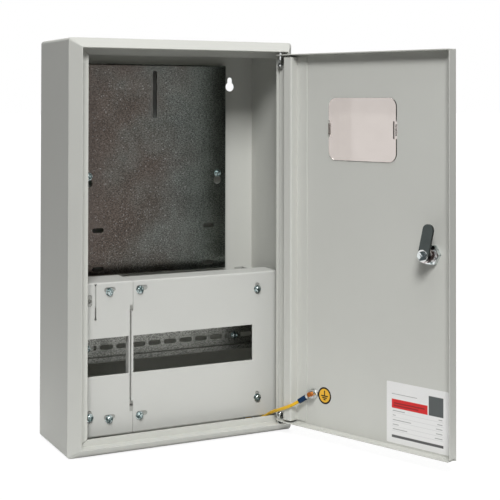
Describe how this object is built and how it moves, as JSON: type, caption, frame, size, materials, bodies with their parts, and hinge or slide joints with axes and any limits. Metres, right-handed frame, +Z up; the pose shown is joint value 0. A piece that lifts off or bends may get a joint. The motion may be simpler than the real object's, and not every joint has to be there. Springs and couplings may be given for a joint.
{
  "type": "electric meter box",
  "caption": "Steel wall cabinet for an electricity meter with an open windowed door, a meter plate, screwed device covers, a mounting rail, a cam lock and an earth lead.",
  "frame": {"origin": "centre of the back face that lies on the wall", "axes": "+Z up, +Y into the wall, +X to the right seen from the front"},
  "size_m": [0.3762, 0.3742, 0.5],
  "materials": {
    "powder_coat": "light grey fine-texture powder coat",
    "cover_coat": "light grey smooth powder coat",
    "galvanised": "dull galvanised, fine spangle",
    "zinc_plated": "bright zinc plating",
    "lock_metal": "nickel-plated die casting",
    "copper_plated": "copper-plated weld stud",
    "tinned_copper": "tin-plated",
    "sleeve_plastic": "dark blue insulating sleeve",
    "wire_sheath": "green and yellow striped sheath",
    "clear_plastic": "clear moulded window"
  },
  "bodies": {
    "cabinet": {"cabinet_shell": "powder_coat", "back_panel": "powder_coat", "meter_plate": "galvanised", "plate_standoffs": "zinc_plated", "plate_screws": "zinc_plated", "din_rail": "zinc_plated", "rail_brackets": "zinc_plated", "rail_screws": "zinc_plated", "rail_nuts": "zinc_plated", "right_cover": "cover_coat", "left_cover": "cover_coat", "upper_cover_bar": "powder_coat", "lower_cover_bar": "powder_coat", "cover_posts": "powder_coat", "cover_screws": "zinc_plated", "upper_hinge_pin": "zinc_plated", "lower_hinge_pin": "zinc_plated", "hinge_nut": "zinc_plated", "hinge_washer": "zinc_plated", "cabinet_earth_stud": "copper_plated", "cabinet_earth_washers": "zinc_plated", "cabinet_earth_nut": "zinc_plated", "cabinet_ring_terminal": "tinned_copper", "cabinet_terminal_sleeve": "sleeve_plastic", "earth_wire": "wire_sheath"},
    "door": {"door_panel": "powder_coat", "door_stiffener": "powder_coat", "window_pane": "clear_plastic", "lock_body": "lock_metal", "lock_nut": "zinc_plated", "door_earth_stud": "copper_plated", "door_earth_washers": "zinc_plated", "door_earth_nut": "zinc_plated", "door_ring_terminal": "tinned_copper", "door_terminal_sleeve": "sleeve_plastic"},
    "cam": {"lock_plug": "lock_metal", "cam_lever": "zinc_plated", "cam_washer": "zinc_plated", "cam_bolt": "zinc_plated"}
  },
  "joints": [
    {"name": "door_hinge", "type": "hinge", "parent": "cabinet", "child": "door", "pos_m": [0.129, -0.1243, 0], "axis": [0, 0, 1], "range_deg": [-110.5, 0], "deforming": ["earth_wire"]},
    {"name": "lock_turn", "type": "hinge", "parent": "door", "child": "cam", "pos_m": [0.21524, -0.33868, -0.0027], "axis": [0.9367, 0.3502, 0], "range_deg": [-13, 77]}
  ]
}
